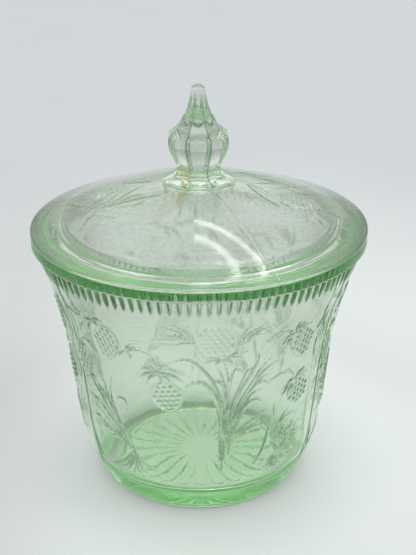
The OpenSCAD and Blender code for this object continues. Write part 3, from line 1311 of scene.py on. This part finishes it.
    def off_middle(self) -> np.ndarray:
        """The angle from the middle of its flat to each point of a faceted ring."""
        half = math.pi / self.sides
        angle = 2 * math.pi * np.arange(self.knob_columns) / self.knob_columns
        return (angle + half) % (2 * half) - half

    def flat_share(self) -> np.ndarray:
        """How near each point of a faceted ring is to the middle of its flat, from 0 to 1."""
        return 1 - (self.off_middle() / (math.pi / self.sides)) ** 2

    def facet(self) -> np.ndarray:
        """How far out a faceted ring is at each point, as a multiple of the distance to its flats."""
        sharp = 1 / np.cos(self.off_middle())
        limit = 1 + (1 / math.cos(math.pi / self.sides) - 1) * (1 - self.corner_cut)
        return np.minimum(sharp, limit)

    def build(self) -> bpy.types.Object:
        """Makes the cover.

        Returns:
            The glass piece, not yet dressed.
        """
        base, edge = self.seat_h, self.edge_r
        crease_h = self.flange_h + edge
        under_r = self.ring_r - self.ring_t
        under_h = crease_h - self.dome_t + (self.dome_r - under_r) * self.under_slope
        foot = (self.skirt[0] + self.skirt_foot[0], self.dome_h + self.skirt_foot[1])
        skin = Skin(base + self.dome_h - self.dome_t)
        lift = np.array([0.0, base])
        start, *marked, root = [(under_r + out, under_h + up) for out, up in self.ring_root]
        under = self.dome(start, (self.under_flat_r, self.dome_h - self.dome_t))[::-1]
        skin.stretch(resample(under, self.under_step) + lift, self.under_columns)
        # Painted shade on the rings at the ring's root, strongest at the left and right sides.
        sides = np.sin(2 * math.pi * np.arange(self.under_columns) / self.under_columns) ** 2
        for radius, height in marked:
            skin.ring(*Dish.level(radius, base + height, self.under_columns), self.ring_side_shade * sides)
        ring = np.vstack([
            [root, [under_r, -self.ring_d / 2]],
            corner((under_r + edge, edge - self.ring_d), edge, 180, 270),
            corner((self.ring_r - edge, edge - self.ring_d), edge, 270, 360),
            [[self.ring_r, -self.ring_d / 2], [self.ring_r, -self.ring_lead]],
            [[self.ring_r + self.ring_lead, 0.0]],
        ])
        skin.stretch(ring + lift, self.under_columns)
        skin.ring(*Dish.level(self.rim_r - self.flange_in, base, self.under_columns))
        turn, slope_top, slope_foot = self.flange_r, self.slope_top, self.slope_foot
        flange = np.vstack([
            corner((self.rim_r - edge, edge), edge, -90, 0),
            corner((self.rim_r - turn, self.flange_h - turn), turn, 0, 80),
            [[self.rim_r + slope_top[0], self.flange_h + slope_top[1]]],
            [[self.dome_r + slope_foot[0], crease_h + slope_foot[1]]],
        ])
        # The sprays' steep edges get painted shade.
        skin.stretch(flange + lift, self.dome_columns, self.dome_relief, self.spray_shade)
        top = resample(self.dome((self.dome_r, crease_h), foot), self.dome_step)
        skin.stretch(top + lift, self.dome_columns, self.dome_relief, self.spray_shade)
        self.add_knob(skin)
        skin.close(base + self.knob_top)
        return skin.build("cover_and_knob")

    def knob_outline(self) -> tuple[np.ndarray, np.ndarray]:
        """The knob's outline to its flats, in two stretches that meet at its crease."""
        skirt, neck, belly, crease, spire = self.skirt, self.neck, self.belly, self.crease, self.spire
        land = (self.land_r, skirt[1] + self.land_rise)
        flare = cubic(land, (land[0] - 2.2, land[1] + 0.95), (neck[0] + 0.4, neck[1] - 2.6), neck)
        swell = cubic(neck, (neck[0], neck[1] + 3), (belly[0] + 0.5, belly[1] - 5.5), belly)
        shoulder = cubic(crease, (crease[0] - 3.4, crease[1] + 1.6), (spire[0] + 1, spire[1] - 8), spire)
        tip = cubic(spire, (spire[0], spire[1] + 3), (2.0, self.knob_top), (0.25, self.knob_top))
        lower = np.vstack([resample(flare, 0.5), resample(swell, 0.8)[1:]])
        upper = np.vstack([resample(shoulder, 0.6), resample(tip, 0.5)[1:]])
        return lower, upper

    def add_knob(self, skin: Skin) -> None:
        """Adds the skirt, the facets of the neck and girdle, and the fluted spire."""
        base, columns = self.seat_h, self.knob_columns
        crisp, across = self.facet(), self.flat_share()
        # Painted shade on the facets' corners.
        corner_shade = smooth_step(self.corner_shade_share, 0.0, across)
        edge_r, edge_h = self.skirt
        pulls = [(edge_r + out, self.dome_h + up) for out, up in self.fillet]
        blend = cubic(*pulls, (edge_r, edge_h - 0.5), self.fillet_rows)
        for share, (radius, height) in zip(np.linspace(0.2, 1.0, len(blend)), blend):
            skin.ring(radius * (1 + (crisp - 1) * share), np.full(columns, base + height))
        skin.ring((edge_r - 0.2) * crisp, np.full(columns, base + edge_h))
        skin.ring((self.land_r + 0.6) * crisp, np.full(columns, base + edge_h + 0.05))
        lower, upper = self.knob_outline()
        for radius, height in lower:
            share = float(smooth_step(*self.hollow_run, np.array(height - edge_h)))
            skin.ring(radius * crisp - self.hollow * share * across, np.full(columns, base + height), corner_shade)
        arc = self.arc_top - self.arc_drop * across
        depth = self.flute * (self.flute_least + (1 - self.flute_least) * across)
        round_from, round_to = self.spire[1] + self.round_run[0], self.knob_top + self.round_run[1]
        for radius, height in upper:
            share = float(smooth_step(round_from, round_to, np.array(height)))
            flute = depth * smooth_step(0.0, self.flute_run, height - arc) * (1 - share)
            hollow = self.spire_hollow * smooth_step(0.0, self.arc_drop / 4, arc - height) * across
            # Painted shade: a dark line along the arcs over the flutes, and on the corners until the tip
            # rounds.
            arc_shade_line = smooth_step(*self.arc_shade_run, np.abs(height - arc - self.arc_edge))
            radii = radius * (crisp + (1 - crisp) * share) - flute - hollow
            edge = np.maximum(corner_shade * (1 - share), arc_shade_line)
            skin.ring(np.maximum(radii, 0.1), np.full(columns, base + height), edge)


# ---------------------------------------------------------------- the studio


@dataclass(frozen=True)
class Softbox:
    """A soft rectangular lamp."""

    name: str
    place: tuple[float, float, float]
    size: Point
    power: float
    colour: tuple[float, float, float] = (1.0, 1.0, 1.0)

    def add(self, target: Vector) -> None:
        """Hangs the lamp and points it at target."""
        lamp = bpy.data.lights.new(self.name, "AREA")
        lamp.shape, lamp.size, lamp.size_y = "RECTANGLE", self.size[0], self.size[1]
        lamp.energy, lamp.color = self.power, self.colour
        holder = bpy.data.objects.new(self.name, lamp)
        holder.location = self.place
        holder.rotation_euler = (target - Vector(self.place)).to_track_quat("-Z", "Y").to_euler()
        bpy.context.scene.collection.objects.link(holder)


@dataclass
class Studio:
    """The pale table, the soft light round it, and the camera."""

    table_half: float = 30.0
    foot_gap: float = 0.0002
    camera_back: float = 0.46826
    camera_up: float = 0.29182
    pitch: float = 23.547
    yaw: float = 0.4454
    roll: float = -0.2355
    lens: float = 77.84
    glass_bounces: int = 32
    glow: float = 1.17
    dark: Colour = (0.12, 0.13, 0.13, 1.0)
    dark_across: Point = (0.5, 0.85)
    dark_up: Point = (0.55, 0.3)
    dark_share: float = 0.5
    low_tone: Colour = (0.44, 0.46, 0.45, 1.0)
    level_tone: Colour = (0.55, 0.57, 0.56, 1.0)
    high_tone: Colour = (0.95, 0.97, 0.98, 1.0)
    top_tone: Colour = (1.0, 1.0, 1.0, 1.0)
    film_w: float = 36.0
    clip: Point = (0.01, 50.0)

    def build(self) -> None:
        """Sets the whole studio up."""
        self.add_table()
        self.light_room()
        middle = Vector((0.0, 0.0, 0.5 * cad_high.z))
        for lamp in (
            Softbox("tube_near", (0.2, 0.74, 1.63), (0.5, 0.03), 0.35),
            Softbox("tube_far", (0.2, 0.86, 1.57), (0.5, 0.03), 0.35),
            Softbox("side", (1.5, -0.4, 1.2), (0.8, 0.8), 2.5, (1.0, 0.99, 0.97)),
        ):
            lamp.add(middle)
        self.add_camera()
        scene = bpy.context.scene
        scene.view_settings.view_transform = "Standard"
        scene.cycles.max_bounces = scene.cycles.transmission_bounces = self.glass_bounces
        scene.cycles.glossy_bounces = self.glass_bounces

    def add_table(self) -> None:
        """Lays the table top, which isn't part of the object, a hair below the foot."""
        h, z = self.table_half, -self.foot_gap
        mesh = bpy.data.meshes.new("table_top")
        mesh.from_pydata([(-h, -h, z), (h, -h, z), (h, h, z), (-h, h, z)], [], [(0, 1, 2, 3)])
        mesh.materials.append(TableTop().material())
        table = bpy.data.objects.new("table_top", mesh)
        bpy.context.scene.collection.objects.link(table)

    def light_room(self) -> None:
        """Gives the room a darker glow below the horizon, brightening up to the ceiling, with darker patches
        low at the left and right.
        """
        world = bpy.data.worlds.new("room")
        bpy.context.scene.world = world
        world.use_nodes = True
        recipe = Recipe(world.node_tree)
        direction = recipe.node("ShaderNodeTexCoord").outputs["Generated"]
        across, _, up = recipe.axes(direction)
        low, level, high, top = self.low_tone, self.level_tone, self.high_tone, self.top_tone
        stops = [(0.0, low), (0.5, low), (0.58, level), (0.68, high), (0.8, top), (1.0, top)]
        tone = recipe.node("ShaderNodeValToRGB", {"stops": stops}, {0: up * 0.5 + 0.5})
        dark = across.size().step(*self.dark_across) * up.step(*self.dark_up) * self.dark_share
        shaded = recipe.mix(dark, tone.outputs[0], self.dark)
        glow = recipe.node("ShaderNodeBackground", None, {"Color": shaded, "Strength": self.glow})
        recipe.node("ShaderNodeOutputWorld", None, {"Surface": glow.outputs[0]})

    def add_camera(self) -> None:
        """Stands the camera in front, looking down on the cover."""
        yaw, pitch, roll = (math.radians(a) for a in (self.yaw, self.pitch, self.roll))
        ahead = Vector((math.sin(yaw), math.cos(yaw), 0.0))
        right = Vector((math.cos(yaw), -math.sin(yaw), 0.0))
        up = Vector((0.0, 0.0, 1.0))
        forward = ahead * math.cos(pitch) - up * math.sin(pitch)
        over = ahead * math.sin(pitch) + up * math.cos(pitch)
        side = right * math.cos(roll) + over * math.sin(roll)
        over = over * math.cos(roll) - right * math.sin(roll)
        lens = bpy.data.cameras.new("camera")
        lens.lens, lens.sensor_width = self.lens, self.film_w
        lens.clip_start, lens.clip_end = self.clip
        camera = bpy.data.objects.new("camera", lens)
        turn = Matrix((side, over, -forward)).transposed()
        camera.matrix_world = Matrix.Translation((0.0, -self.camera_back, self.camera_up)) @ turn.to_4x4()
        bpy.context.scene.collection.objects.link(camera)
        bpy.context.scene.camera = camera


# ---------------------------------------------------------------- putting it together


def dress(piece: bpy.types.Object, finish: PressedGlass, body: str) -> None:
    """Gives a glass piece its finish and hands it to its body in the frame.

    Args:
        piece: The piece.
        finish: Its glass.
        body: The body that it rides on, which is also the node that it stands for.
    """
    piece.data.materials.append(finish.material())
    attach(piece, body)
    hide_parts(body)
    log.info("%s: %d faces", piece.name, len(piece.data.polygons))


def main() -> None:
    """Builds the dish, its cover and the studio, in that order."""
    logging.basicConfig(level=logging.INFO, format="%(name)s: %(message)s")
    dress(Dish.from_frame().build(), DishGlass(), "jar")
    dress(Cover.from_frame().build(), CoverGlass(), "cover")
    Studio().build()


if __name__ == "__main__":
    main()
